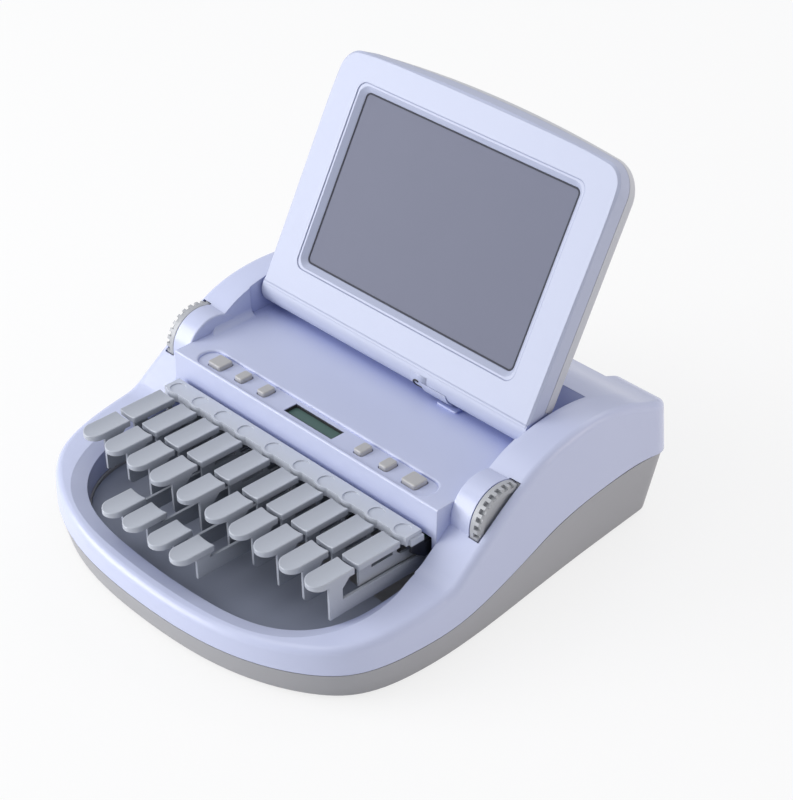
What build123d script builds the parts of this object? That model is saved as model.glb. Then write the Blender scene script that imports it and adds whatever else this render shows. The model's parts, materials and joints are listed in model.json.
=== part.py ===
"""Stenotype machine: hollow two-part housing, ten-column keyboard on one shaft, thumb keys,
number bar, button panel with a small display, two thumbwheels and a tilting screen.

Millimetres. +X is the writer's right, +Y the back, +Z up. The origin lies on the table under
the middle of the housing.
"""

import math
import os

from build123d import *

os.makedirs("parts", exist_ok=True)

# Housing, plan at the parting line
body_half_width = 123.4
body_depth = 257.5
nose_flat = 52.0
nose_sagitta = 4.3
rear_corner_radius = 20.0
rear_half_width = 116.6
shell_draft = 2.6
base_draft = 12.5

# Housing, heights
foot_height = 2.0
base_floor = 2.5
nose_parting = 15.0
side_parting = 43.6
rear_parting = 35.0
nose_top = 27.0
rim_slope = 7.35
rail_top = 83.9
rail_crown = 2.4
crease_radius = 4.0
rear_round = 17.0
parting_gap = 0.4

# Key well
well_half_width = 98.0
well_front = 14.4
well_floor = 16.0
rim_dish = 9.5
rim_dish_depth = 3.6

# Deck, riser and button panel
deck_height = 66.8
deck_half_width = 98.2
crown_half_width = deck_half_width + 3.0
deck_blend = 4.0
riser_front = -24.6
riser_bottom = 50.1
riser_lean = 0.9
riser_wall = 3.2
deck_wall = 3.3
rear_edge_y = 74.25
hinge_bay_front = 27.0
hinge_bay_step = 0.7
hollow_half_width = 95.0
hollow_rear = 115.5
bay_half_width = 78.0
bay_depth = 8.8

# Panel
panel_half_length = 86.0
panel_y = -15.4
panel_width = 14.0
panel_corner = 6.5
panel_sink = 1.5
pocket_round = 1.2
riser_round = 1.0
hump_round = 1.0
lcd_length = 35.8
lcd_width = 8.6
button_x = (36.4, 54.1, 72.7)
button_y = -15.1
button_size = (6.0, 8.0)
end_button_size = (10.0, 9.0)
button_rise = 2.4
button_travel = 1.0
button_play = 0.35

# Thumbwheels
wheel_y = 2.15
wheel_z = 57.1
wheel_radius = 18.8
wheel_inner_x = 111.2
wheel_width = 5.6
wheel_play = 0.6
wheel_side_play = 0.9
wheel_notches = 28
notch_depth = 1.9
notch_width = 2.3
notch_length = 2.9
wheel_axle_radius = 2.0
running_play = 0.05

# Keyboard
key_pitch = 18.13
first_column = -84.82
star_gap = 21.36
cap_width = 12.34
cap_skirt = 3.5
cap_dish_radius = 21.0
cap_round = 0.5
cap_top = 54.3
upper_front = -67.35
upper_back = -41.35
lower_back = -69.8
lower_tip = -93.45
thumb_top = 46.2
thumb_back = -98.55
thumb_tip = -119.65
thumb_x = (-35.4, -19.0, 0.7, 17.3)
thumb_arm_x = (-36.2, -16.2, 4.6, 22.0)
blade = 1.5
blade_step = 2.5
stem_width = 8.1
lower_arm = (32.1, 40.2)
upper_arm = (39.5, 46.5)
upper_arm_drop = 2.0
thumb_arm = (31.0, 39.6)
bar_half_length = 91.4
bar_front = -39.55
bar_back = -28.35
bar_top = 54.5
bar_height = 5.0
bar_lobe_radius = 10.0
shaft_y = 22.0
shaft_z = 40.0
shaft_radius = 2.5
hub_radius = 6.0
tail_length = 15.0
tail_bottom = 34.8
stop_gap = 0.3
felt_thickness = 2.0

# Screen
screen_angle = 60.47
hinge_y = 43.15
hinge_z = 78.9
barrel_radius = 9.4
barrel_set_in = 0.15
screen_half_width = 97.5
screen_height = 134.1
screen_crown = 2.7
screen_corner = 12.0
screen_depth = 17.5
glass_half_width = 75.04
glass_low = 20.2
glass_high = 114.1
glass_depth = 3.2
glass_lip = 3.5
step_width = 1.0
step_depth = 0.4
glass_corner = 4.5
pin_radius = 3.0
pin_length = 9.0

# Underside and inside
foot_radius = 7.0
foot_seat = 0.8
socket_radius = 3.175
socket_length = 10.0
screw_radius = 1.5
screw_play = 0.1
board = 1.6
fit_gap = 0.3

half_depth = body_depth / 2
wheel_outer_x = wheel_inner_x + wheel_width


def shifted(points, amounts):
    """Moves each point of an open plan curve outwards along its own normal."""
    moved = []
    for i, (x, y) in enumerate(points):
        ax, ay = points[max(i - 1, 0)]
        bx, by = points[min(i + 1, len(points) - 1)]
        length = math.hypot(bx - ax, by - ay)
        nx, ny = (by - ay) / length, -(bx - ax) / length
        if i == 0:
            nx, ny = 0.0, -1.0
        moved.append((x + nx * amounts[i], y + ny * amounts[i]))
    return moved


corner_start = half_depth - 0.9146 * rear_corner_radius
corner_lean = math.radians(4.9)
side_points = [
    (0.0, -half_depth + 0.25),
    (nose_flat, -half_depth + 0.25 + nose_sagitta),
    (body_half_width - 31.6, -half_depth + 18.9),
    (body_half_width - 10.6, -half_depth + 36.7),
    (body_half_width - 1.1, -half_depth + 68.0),
    (body_half_width, -25.0),
    (body_half_width - 0.6, 20.0),
    (body_half_width - 2.9, 60.0),
    (rear_half_width - 0.9, corner_start),
]
parting_points = [
    (-half_depth - 12.0, nose_parting),
    (-half_depth, nose_parting),
    (-62.0, nose_parting + 3.2),
    (-31.4, nose_parting + 5.1),
    (-9.5, 25.7),
    (12.6, 33.4),
    (30.6, 39.4),
    (49.2, side_parting - 1.0),
    (75.0, side_parting),
    (100.0, side_parting - 1.6),
    (half_depth, rear_parting),
    (half_depth + 12.0, rear_parting - 3.5),
]
station_parting = [15.0, 15.2, 16.0, 17.0, 18.2, 21.5, 36.0, 43.4, 41.5]


def plan_section(height, amounts):
    """Closed plan outline of the housing at one height."""
    pts = shifted(side_points, amounts)
    rear = amounts[-1]
    with BuildSketch(Plane.XY.offset(height)) as section:
        with BuildLine():
            side = Spline(
                *pts,
                tangents=[(1, 0), (-math.sin(corner_lean), math.cos(corner_lean))],
                tangent_scalars=[1, 1],
            )
            corner = JernArc(
                start=side @ 1,
                tangent=(-math.sin(corner_lean), math.cos(corner_lean)),
                radius=rear_corner_radius + rear,
                arc_size=90 - math.degrees(corner_lean),
            )
            Line(corner @ 1, (0, (corner @ 1).Y))
            Line((0, (corner @ 1).Y), pts[0])
        make_face()
        mirror(about=Plane.YZ)
    return section


def rail_section(x, crown):
    """Side profile of the housing's top, with the rounded back edge."""
    slope = math.radians(rim_slope)
    foot_y = -37.8
    foot_z = nose_top + (foot_y + half_depth) * math.tan(slope)
    round_y = half_depth - 0.75 - rear_round
    end_angle = math.radians(21.0)
    end = (round_y + rear_round * math.sin(end_angle), 51.5 + rear_round * math.cos(end_angle))
    with BuildSketch(Plane.YZ.offset(x)) as section:
        with BuildLine():
            front = FilletPolyline(
                (-half_depth - 12.0, nose_top - 12.0 * math.tan(slope)),
                (foot_y, foot_z),
                (-3.0, rail_top - 19.1 + 0.3 * crown),
                radius=20.0,
            )
            top = Spline(
                front @ 1,
                (17.25, rail_top - 7.0 + 0.9 * crown),
                (37.25, rail_top - 1.4 + crown),
                (57.0, rail_top + crown),
                (75.0, rail_top - 1.8 + 0.9 * crown),
                (95.0, rail_top - 7.7 + 0.6 * crown),
                end,
                tangents=[front % 1, (math.cos(end_angle), -math.sin(end_angle))],
            )
            back = JernArc(
                start=top @ 1,
                tangent=(math.cos(end_angle), -math.sin(end_angle)),
                radius=rear_round,
                arc_size=-(80.0 - 21.0),
            )
            Polyline(back @ 1, (half_depth + 9.0, 0), (-half_depth - 12.0, 0), front @ 0)
        make_face()
    return section


def parting_cut(offset, up):
    """Half space above or below the parting curve, moved by an offset."""
    pts = [(y, z + offset) for y, z in parting_points]
    limit = 200.0 if up else -60.0
    with BuildSketch(Plane.YZ, mode=Mode.PRIVATE) as section:
        with BuildLine():
            curve = Spline(*pts)
            Polyline(curve @ 1, ((curve @ 1).X, limit), ((curve @ 0).X, limit), curve @ 0)
        make_face()
    return extrude(section.sketch, amount=160, both=True, mode=Mode.PRIVATE)


shell_low = 8.0
shell_high = 96.0
lean = math.tan(math.radians(shell_draft))
low_face = plan_section(shell_low, [(18.0 - shell_low) * lean] * len(side_points)).sketch
high_face = plan_section(shell_high, [(18.0 - shell_high) * lean] * len(side_points)).sketch
walls = loft([low_face.face(), high_face.face()], ruled=True)
outer_x = body_half_width + 4.0
rails = loft(
    [
        rail_section(-outer_x, 0.0).sketch.face(),
        rail_section(-crown_half_width, rail_crown).sketch.face(),
        rail_section(crown_half_width, rail_crown).sketch.face(),
        rail_section(outer_x, 0.0).sketch.face(),
    ],
    ruled=True,
)

# Bowl outline round the thumb keys, seen from above
well_points = [
    (0.0, -half_depth + well_front),
    (24.0, -half_depth + well_front + 0.7),
    (48.0, -half_depth + well_front + 3.0),
    (67.0, -half_depth + well_front + 8.0),
    (82.0, -half_depth + well_front + 17.0),
    (90.5, -half_depth + well_front + 27.0),
    (95.6, -half_depth + well_front + 39.0),
    (well_half_width, -half_depth + well_front + 58.0),
    (well_half_width, -32.0),
]


def well_section(plane, amounts, back):
    """Closed outline of the bowl on a plane, moved outwards by an amount at each point."""
    pts = shifted(well_points, amounts)
    with BuildSketch(plane) as section:
        with BuildLine():
            side = Spline(*pts, tangents=[(1, 0), (0, 1)])
            Polyline(side @ 1, ((side @ 1).X, back), (0, back), pts[0])
        make_face()
        mirror(about=Plane.YZ)
    return section




def block(x0, x1, y0, y1, z0, z1):
    """Block between two corners."""
    body = Box(x1 - x0, y1 - y0, z1 - z0, mode=Mode.PRIVATE)
    return Pos((x0 + x1) / 2, (y0 + y1) / 2, (z0 + z1) / 2) * body


def post(x, y, radius, z0, z1):
    """Upright round post."""
    body = Cylinder(radius, z1 - z0, mode=Mode.PRIVATE)
    return Pos(x, y, (z0 + z1) / 2) * body


def side_prism(points, x0, x1):
    """Outline in the side view, carried from x0 to x1."""
    with BuildSketch(Plane.YZ.offset(x0), mode=Mode.PRIVATE) as outline:
        with BuildLine():
            Polyline(*points, close=True)
        make_face()
    return extrude(outline.sketch, amount=x1 - x0, mode=Mode.PRIVATE)


def across(y, z, radius, x0, x1):
    """Cylinder along X between x0 and x1."""
    with BuildSketch(Plane.YZ.offset(x0), mode=Mode.PRIVATE) as disc:
        with Locations((y, z)):
            Circle(radius)
    return extrude(disc.sketch, amount=x1 - x0, mode=Mode.PRIVATE)


rim_angle = math.radians(rim_slope)
rim_normal = (0, -math.sin(rim_angle), math.cos(rim_angle))
rim_plane = Plane(origin=(0, 0, nose_top + half_depth * math.tan(rim_angle)), x_dir=(1, 0, 0), z_dir=rim_normal)
dish = [rim_dish, rim_dish, rim_dish, rim_dish, rim_dish, 0.9 * rim_dish, 0.8 * rim_dish, 0.5 * rim_dish, 0.0]
dish_low = rim_plane.offset(-rim_dish_depth)
dish_cut = loft(
    [
        well_section(dish_low, [0.0] * len(dish), -40.0).sketch.face(),
        well_section(rim_plane.offset(0.3), dish, -40.0).sketch.face(),
    ],
    ruled=True,
)
well_cut = extrude(well_section(Plane.XY, [0.0] * len(dish), -20.0).sketch, amount=100)
panel_floor = deck_height - panel_sink
hollow_top = deck_height - deck_wall
hollow_front = riser_front + riser_wall
recess_foot = rear_edge_y - (rail_top + 0.3 - deck_height)

panel_board_top = 57.1
board_post_y = -8.0
jack_half = 60.0
jack_low = 24.0
jack_high = 50.0
jack_face = half_depth - bay_depth
jack_opening = block(
    -jack_half - fit_gap,
    jack_half + fit_gap,
    jack_face - 14.0,
    jack_face + 20.0,
    jack_low - fit_gap,
    jack_high + fit_gap,
)
screw_places = [(-101.5, 92.0, 42.4), (101.5, 92.0, 42.4), (-106.5, -50.0, 19.0), (106.5, -50.0, 19.0)]

def edge_near(builder, x, y, z):
    """The edge whose middle lies nearest to a point."""
    return sorted(builder.edges(), key=lambda e: (e.center() - Vector(x, y, z)).length)[0]


# Upper housing
with BuildPart() as top_shell:
    add(walls)
    add(rails, mode=Mode.INTERSECT)
    crease = [
        e
        for e in top_shell.edges()
        if (e.center().Z > nose_top - 2 and abs(e.center().X) > body_half_width - 6)
        or (abs(e.center().X) < 1 and abs(e.center().Y + half_depth) < 3 and e.center().Z > nose_top - 4)
    ]
    fillet(crease, radius=crease_radius)
    add(well_cut, mode=Mode.SUBTRACT)
    add(dish_cut, mode=Mode.SUBTRACT)
    deck_tool = side_prism(
        [
            (-60.0, deck_height),
            (recess_foot, deck_height),
            (rear_edge_y, rail_top + 0.3),
            (rear_edge_y, 110.0),
            (-60.0, 110.0),
        ],
        -deck_half_width,
        deck_half_width,
    )
    deck_edges = deck_tool.edges().filter_by(Axis.Y).group_by(Axis.Z)[0]
    add(deck_tool.fillet(deck_blend, deck_edges), mode=Mode.SUBTRACT)
    bay_x = deck_half_width + hinge_bay_step
    hinge_bay = side_prism(
        [
            (hinge_bay_front, deck_height),
            (recess_foot, deck_height),
            (rear_edge_y, rail_top + 0.3),
            (rear_edge_y, 110.0),
            (hinge_bay_front, 110.0),
        ],
        -bay_x,
        bay_x,
    )
    add(hinge_bay, mode=Mode.SUBTRACT)
    for side in (-1, 1):
        hump_x = sorted((side * (deck_half_width - 0.2), side * (wheel_inner_x - 0.3)))
        add(across(wheel_y, wheel_z, wheel_radius, *hump_x))
        cheek_x = sorted((side * hollow_half_width, side * (deck_half_width + 0.05)))
        cheek = side_prism(
            [
                (riser_front - riser_lean, riser_bottom - 22.0),
                (riser_front - riser_lean, riser_bottom),
                (riser_front, deck_height),
                (5.0, deck_height),
                (5.0, riser_bottom - 22.0),
            ],
            *cheek_x,
        )
        add(cheek)
    riser = side_prism(
        [
            (riser_front - riser_lean, riser_bottom),
            (riser_front, deck_height),
            (5.0, deck_height),
            (5.0, riser_bottom),
        ],
        -deck_half_width,
        deck_half_width,
    )
    add(riser)
    hollow = block(
        -hollow_half_width, hollow_half_width, hollow_front, hollow_rear, 0.0, hollow_top
    )
    add(hollow.fillet(6.0, hollow.edges().filter_by(Axis.Z).group_by(Axis.Y)[-1]), mode=Mode.SUBTRACT)
    for side in (-1, 1):
        slot_x = sorted((side * (wheel_inner_x - 0.3), side * (wheel_outer_x + wheel_side_play)))
        add(across(wheel_y, wheel_z, wheel_radius + wheel_play, *slot_x), mode=Mode.SUBTRACT)
        axle_x = sorted((side * (wheel_inner_x - 6.0), side * (wheel_outer_x + wheel_side_play + 2.0)))
        add(across(wheel_y, wheel_z, wheel_axle_radius, *axle_x), mode=Mode.SUBTRACT)
        pin_x = sorted((side * (bay_x - 0.5), side * (bay_x + pin_length - 1.0)))
        add(across(hinge_y, hinge_z, pin_radius, *pin_x), mode=Mode.SUBTRACT)
    with BuildSketch(Plane.XY.offset(panel_floor)) as pocket:
        with Locations((0, panel_y)):
            RectangleRounded(2 * panel_half_length, panel_width, panel_corner)
    extrude(pocket.sketch, amount=10, mode=Mode.SUBTRACT)
    with BuildSketch(Plane.XY.offset(hollow_top - 1)) as holes:
        with Locations((0, button_y)):
            Rectangle(lcd_length, lcd_width)
        for side in (-1, 1):
            for x, size in zip(button_x, (button_size, button_size, end_button_size)):
                with Locations((side * x, button_y)):
                    RectangleRounded(size[0] + 2 * button_play, size[1] + 2 * button_play, 1.6)
    extrude(holes.sketch, amount=10, mode=Mode.SUBTRACT)
    bay = side_prism(
        [
            (half_depth - bay_depth, 0),
            (half_depth - bay_depth, 58.5),
            (half_depth - bay_depth - 2.4, 64.2),
            (half_depth - bay_depth - 8.0, 68.6),
            (half_depth - bay_depth - 8.0, 90.0),
            (half_depth + 9.0, 90.0),
            (half_depth + 9.0, 0),
        ],
        -bay_half_width,
        bay_half_width,
    )
    add(bay, mode=Mode.SUBTRACT)
    for x in (-81.8, -27.0, 27.0, 81.8):
        add(post(x, board_post_y, 2.0, panel_board_top, hollow_top))
    add(jack_opening, mode=Mode.SUBTRACT)
    for x, y, height in screw_places:
        add(post(x, y, screw_radius + screw_play, height - 6.0, height + 9.0), mode=Mode.SUBTRACT)
    add(parting_cut(parting_gap / 2, False), mode=Mode.SUBTRACT)
    fillet(edge_near(top_shell, 0, riser_front, deck_height), radius=riser_round)
    pocket_rim = [
        e
        for e in top_shell.edges()
        if abs(e.center().Z - deck_height) < 0.05
        and abs(e.center().Y - panel_y) < panel_width / 2 + 0.3
        and abs(e.center().X) < panel_half_length + 0.3
    ]
    fillet(pocket_rim, radius=pocket_round)
    for side in (-1, 1):
        hump_edge = edge_near(
            top_shell, side * (deck_half_width - 0.2), wheel_y - 1.8, wheel_z + wheel_radius - 0.1
        )
        fillet(hump_edge, radius=hump_round)

top_shell.part.label = "top_shell"
export_step(top_shell.part, "parts/top_shell.step")


# Lower housing: a tapered tray under the parting line, stepped at the back
base_lean = math.tan(math.radians(base_draft))
base_low = foot_height
base_high = 48.0


def base_amounts(height):
    """How far the tapered lower wall stands out from the plan at each station."""
    return [(18.0 - z) * lean + (height - z) * base_lean for z in station_parting]


base_walls = loft(
    [
        plan_section(base_low, base_amounts(base_low)).sketch.face(),
        plan_section(base_high, base_amounts(base_high)).sketch.face(),
    ],
    ruled=True,
)
floor_top = base_low + base_floor
base_rear = half_depth - 18.5
tray_top = well_floor
tray_bottom = well_floor - 1.8
tray_posts = [(-70.0, -75.0), (70.0, -75.0), (-30.0, -100.0), (30.0, -100.0), (0.0, -60.0)]
main_board_z = 10.0
main_board_box = (-88.0, 20.0, 46.0, 106.0)
sensor_board_z = 22.0
socket_y = -12.0
socket_body_radius = 8.0
socket_top = base_low + socket_length + 2.0
foot_places = [(-84.0, -80.0), (84.0, -80.0), (-84.0, 88.0), (84.0, 88.0)]

with BuildPart() as base_shell:
    add(base_walls)
    add(parting_cut(-parting_gap / 2, True), mode=Mode.SUBTRACT)
    bowl = well_section(Plane.XY.offset(floor_top), [-1.0] * len(dish), -30.0)
    add(extrude(bowl.sketch, amount=60, mode=Mode.PRIVATE), mode=Mode.SUBTRACT)
    inside = block(-hollow_half_width, hollow_half_width, -32.0, base_rear, floor_top, 90.0)
    add(inside.fillet(6.0, inside.edges().filter_by(Axis.Z).group_by(Axis.Y)[-1]), mode=Mode.SUBTRACT)
    back_steps = side_prism(
        [
            (half_depth + 0.4, rear_parting + 2.5),
            (half_depth - 4.0, rear_parting - 4.5),
            (half_depth - 6.2, rear_parting - 6.0),
            (half_depth - 8.2, rear_parting - 16.5),
            (half_depth - 11.4, rear_parting - 18.5),
            (half_depth - 13.6, 0.0),
            (half_depth + 30.0, 0.0),
            (half_depth + 30.0, rear_parting + 2.5),
        ],
        -140.0,
        140.0,
    )
    add(back_steps, mode=Mode.SUBTRACT)
    add(block(-bay_half_width, bay_half_width, jack_face, 160.0, 20.0, 80.0), mode=Mode.SUBTRACT)
    add(jack_opening, mode=Mode.SUBTRACT)
    for x, y in tray_posts:
        add(post(x, y, 4.0, floor_top - 0.5, tray_bottom))
    x0, x1, y0, y1 = main_board_box
    for x in (x0 + 5, x1 - 5):
        for y in (y0 + 5, y1 - 5):
            add(post(x, y, 3.0, floor_top - 0.5, main_board_z))
    for x in (-86.0, 86.0):
        add(post(x, -2.0, 3.0, floor_top - 0.5, sensor_board_z))
    add(post(0, socket_y, socket_body_radius + 3.0, floor_top - 0.5, socket_top))
    add(post(0, socket_y, socket_body_radius, 0.0, socket_top + 1), mode=Mode.SUBTRACT)
    for x, y in foot_places:
        add(post(x, y, foot_radius + 0.1, 0.0, base_low + foot_seat), mode=Mode.SUBTRACT)
    for x, y, height in screw_places:
        add(post(x, y, 3.3, 0.0, base_low + 5.0), mode=Mode.SUBTRACT)
        add(post(x, y, screw_radius + screw_play, 0.0, 60.0), mode=Mode.SUBTRACT)

base_shell.part.label = "base_shell"
export_step(base_shell.part, "parts/base_shell.step")

# Dark floor of the key well
with BuildPart() as well_tray:
    floor = well_section(Plane.XY.offset(tray_bottom), [-1.3] * len(dish), -46.3)
    add(extrude(floor.sketch, amount=tray_top - tray_bottom, mode=Mode.PRIVATE))

well_tray.part.label = "well_tray"
export_step(well_tray.part, "parts/well_tray.step")

with BuildPart() as rubber_feet:
    for x, y in foot_places:
        add(post(x, y, foot_radius, 0.0, base_low + foot_seat))

rubber_feet.part.label = "rubber_feet"
export_step(rubber_feet.part, "parts/rubber_feet.step")

with BuildPart() as base_screws:
    for x, y, height in screw_places:
        add(post(x, y, 3.0, base_low + 2.4, base_low + 5.0))
        add(post(x, y, screw_radius, base_low + 4.0, height + 8.0))
        add(post(x, y, 1.2, base_low, base_low + 3.6), mode=Mode.SUBTRACT)

base_screws.part.label = "base_screws"
export_step(base_screws.part, "parts/base_screws.step")

# Threaded metal insert for a stand, open downwards
with BuildPart() as tripod_socket:
    add(post(0, socket_y, socket_body_radius, base_low, socket_top))
    add(post(0, socket_y, socket_radius, 0.0, base_low + socket_length), mode=Mode.SUBTRACT)

tripod_socket.part.label = "tripod_socket"
export_step(tripod_socket.part, "parts/tripod_socket.step")

# Socket strip in the back bay
jack_depth = 12.0
jack_z = (jack_low + jack_high) / 2
usb_x = (-34.0, -12.0)
usb_size = (12.6, 5.2)
inlet_x = 40.0
inlet_radius = 3.3
audio_x = 16.0
socket_deep = 8.0
with BuildPart() as jack_block:
    add(block(-jack_half, jack_half, jack_face - jack_depth, jack_face - fit_gap, jack_low, jack_high))
    for x in usb_x:
        add(
            block(
                x - usb_size[0] / 2,
                x + usb_size[0] / 2,
                jack_face - socket_deep,
                jack_face + 1,
                jack_z - usb_size[1] / 2,
                jack_z + usb_size[1] / 2,
            ),
            mode=Mode.SUBTRACT,
        )
    with BuildSketch(Plane.XZ.offset(-jack_face - 1)) as rounds:
        with Locations((inlet_x, jack_z)):
            Circle(inlet_radius)
        with Locations((audio_x, jack_z)):
            Circle(1.8)
    extrude(rounds.sketch, amount=socket_deep + 1, mode=Mode.SUBTRACT)

jack_block.part.label = "jack_block"
export_step(jack_block.part, "parts/jack_block.step")

# Button board with its switches, hung under the deck
button_places = [(-x, size) for x, size in zip(reversed(button_x), (end_button_size, button_size, button_size))]
button_places += [(x, size) for x, size in zip(button_x, (button_size, button_size, end_button_size))]
switch_top = panel_board_top + 3.4
board_back = -4.0
with BuildPart() as panel_board:
    add(block(-84.0, 84.0, hollow_front + 0.5, board_back, panel_board_top - board, panel_board_top))
    for x, size in button_places:
        add(block(x - 3.1, x + 3.1, button_y - 3.1, button_y + 3.1, panel_board_top - 0.2, switch_top))
        add(post(x, button_y, 1.9, panel_board_top + 0.6, switch_top + 1), mode=Mode.SUBTRACT)

panel_board.part.label = "panel_board"
export_step(panel_board.part, "parts/panel_board.step")

lcd_border = 2.0
window_thickness = 1.0
with BuildPart() as display_window:
    add(
        block(
            -lcd_length / 2 - lcd_border,
            lcd_length / 2 + lcd_border,
            button_y - lcd_width / 2 - 1.5,
            button_y + lcd_width / 2 + 1.5,
            hollow_top - window_thickness,
            hollow_top,
        )
    )

display_window.part.label = "display_window"
export_step(display_window.part, "parts/display_window.step")

with BuildPart() as display_module:
    add(
        block(
            -lcd_length / 2 - lcd_border,
            lcd_length / 2 + lcd_border,
            button_y - lcd_width / 2 - 1.5,
            button_y + lcd_width / 2 + 1.5,
            panel_board_top,
            hollow_top - window_thickness - fit_gap,
        )
    )

display_module.part.label = "display_module"
export_step(display_module.part, "parts/display_module.step")

# Lever shaft, its frame and the felt stop under the lever tails
cheek_x = hollow_half_width - 0.2
frame_sheet = 1.5
frame_front = 10.0
frame_back = 38.0
support_x = (-53.5, -10.5, 43.5)
felt_top = tail_bottom - stop_gap
with BuildPart() as lever_shaft:
    add(across(shaft_y, shaft_z, shaft_radius, -cheek_x, cheek_x))

lever_shaft.part.label = "lever_shaft"
export_step(lever_shaft.part, "parts/lever_shaft.step")

plates = [(-cheek_x, -cheek_x + frame_sheet), (cheek_x - frame_sheet, cheek_x)]
plates += [(x - frame_sheet / 2, x + frame_sheet / 2) for x in support_x]
with BuildPart() as lever_frame:
    add(block(-cheek_x, cheek_x, frame_front, frame_back, floor_top, floor_top + frame_sheet))
    add(
        block(
            -cheek_x,
            cheek_x,
            frame_back - 8.0,
            frame_back,
            felt_top - felt_thickness - frame_sheet,
            felt_top - felt_thickness,
        )
    )
    for low, high in plates:
        add(
            side_prism(
                [
                    (frame_front, floor_top),
                    (shaft_y - 6.0, shaft_z + 5.0),
                    (shaft_y + 6.0, shaft_z + 5.0),
                    (frame_back - 8.0, felt_top - felt_thickness),
                    (frame_back, felt_top - felt_thickness),
                    (frame_back, floor_top),
                ],
                low,
                high,
            )
        )
    add(across(shaft_y, shaft_z, shaft_radius, -cheek_x - 1, cheek_x + 1), mode=Mode.SUBTRACT)

lever_frame.part.label = "lever_frame"
export_step(lever_frame.part, "parts/lever_frame.step")

with BuildPart() as stop_felt:
    add(block(-cheek_x + 2, cheek_x - 2, frame_back - 8.0, frame_back, felt_top - felt_thickness, felt_top))

stop_felt.part.label = "stop_felt"
export_step(stop_felt.part, "parts/stop_felt.step")

# Electronics in the lower housing
left_four = [first_column + key_pitch * i for i in range(4)]
star_x = left_four[-1] + star_gap
right_five = [star_x + star_gap + key_pitch * i for i in range(5)]
column_x = left_four + [star_x] + right_five

with BuildPart() as sensor_board:
    add(block(-90.0, 90.0, -8.0, 4.0, sensor_board_z, sensor_board_z + board))
    for x in column_x:
        add(block(x - 4.0, x + 4.0, -5.0, 1.0, sensor_board_z + board - 0.2, sensor_board_z + board + 3.0))

sensor_board.part.label = "sensor_board"
export_step(sensor_board.part, "parts/sensor_board.step")

with BuildPart() as main_board:
    x0, x1, y0, y1 = main_board_box
    add(block(x0, x1, y0, y1, main_board_z, main_board_z + board))
    add(block(x0 + 24, x0 + 46, y0 + 18, y0 + 40, main_board_z + board - 0.2, main_board_z + board + 2.4))
    add(block(x0 + 60, x0 + 78, y0 + 14, y0 + 24, main_board_z + board - 0.2, main_board_z + board + 1.6))
    add(block(x0 + 60, x0 + 78, y0 + 32, y0 + 42, main_board_z + board - 0.2, main_board_z + board + 1.6))

main_board.part.label = "main_board"
export_step(main_board.part, "parts/main_board.step")

with BuildPart() as battery_pack:
    add(block(28.0, 88.0, 46.0, 104.0, floor_top + fit_gap, floor_top + 20.0))
    fillet(battery_pack.edges().filter_by(Axis.Y), radius=4.0)

battery_pack.part.label = "battery_pack"
export_step(battery_pack.part, "parts/battery_pack.step")

# Keys: a dished cap on a thin bent blade that turns on the shaft
lower_centre = lower_tip + cap_width / 2
thumb_centre = thumb_tip + cap_width / 2


def blade_section(x, points, radius):
    """Side outline of a lever blade with its hub and tail, standing at x."""
    with BuildSketch(Plane.YZ.offset(x), mode=Mode.PRIVATE) as outline:
        with BuildLine():
            Polyline(*points, close=True)
        make_face()
        with Locations((shaft_y, shaft_z)):
            Circle(hub_radius)
        with Locations((shaft_y, shaft_z)):
            Circle(shaft_radius + running_play, mode=Mode.SUBTRACT)
        nose = outline.vertices().group_by(Axis.Y)[0].sort_by(Axis.Z)[0]
        fillet(nose, radius=radius)
    return extrude(outline.sketch, amount=blade, mode=Mode.PRIVATE)


def lever_outline(front, under, arm, gusset, step_y, drop):
    """Corners of a blade from the cap's stem to the tail behind the shaft."""
    low, high = arm
    stem_back = front + stem_width
    tail_end = shaft_y + tail_length
    return [
        (front, low),
        (front, under + 0.6),
        (stem_back + gusset, under + 0.6),
        (stem_back + gusset, under),
        (stem_back, under - gusset),
        (stem_back, high),
        (step_y, high),
        (step_y + 2.0, high - drop),
        (shaft_y, high - drop),
        (shaft_y + 2.0, shaft_z + 3.0),
        (tail_end, shaft_z + 2.0),
        (tail_end, tail_bottom),
        (shaft_y + 5.0, tail_bottom),
        (shaft_y - 2.0, low),
    ]


def cap_plan(x, tip, back, top, rounded):
    """Key cap: flat sides, round or square front, top dished across its width."""
    with BuildSketch(Plane.XY.offset(top - cap_skirt), mode=Mode.PRIVATE) as plan:
        if rounded:
            with Locations((x, tip + cap_width / 2)):
                Circle(cap_width / 2)
            with Locations((x, (tip + cap_width / 2 + back) / 2)):
                Rectangle(cap_width, back - tip - cap_width / 2)
            fillet(plan.vertices().group_by(Axis.Y)[-1], radius=0.8)
        else:
            with Locations((x, (tip + back) / 2)):
                RectangleRounded(cap_width, back - tip, 0.8)
    cap = extrude(plan.sketch, amount=cap_skirt, mode=Mode.PRIVATE)
    edge = math.sqrt(cap_dish_radius**2 - (cap_width / 2 + 0.04) ** 2)
    with BuildSketch(Plane.XZ.offset(-back - 1), mode=Mode.PRIVATE) as dip:
        with Locations((x, top + edge)):
            Circle(cap_dish_radius)
    dished = cap - extrude(dip.sketch, amount=back - tip + 2 + cap_width, mode=Mode.PRIVATE)
    rim = [e for e in dished.edges() if e.center().Z > top - cap_skirt / 2]
    return dished.fillet(cap_round, rim)


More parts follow.
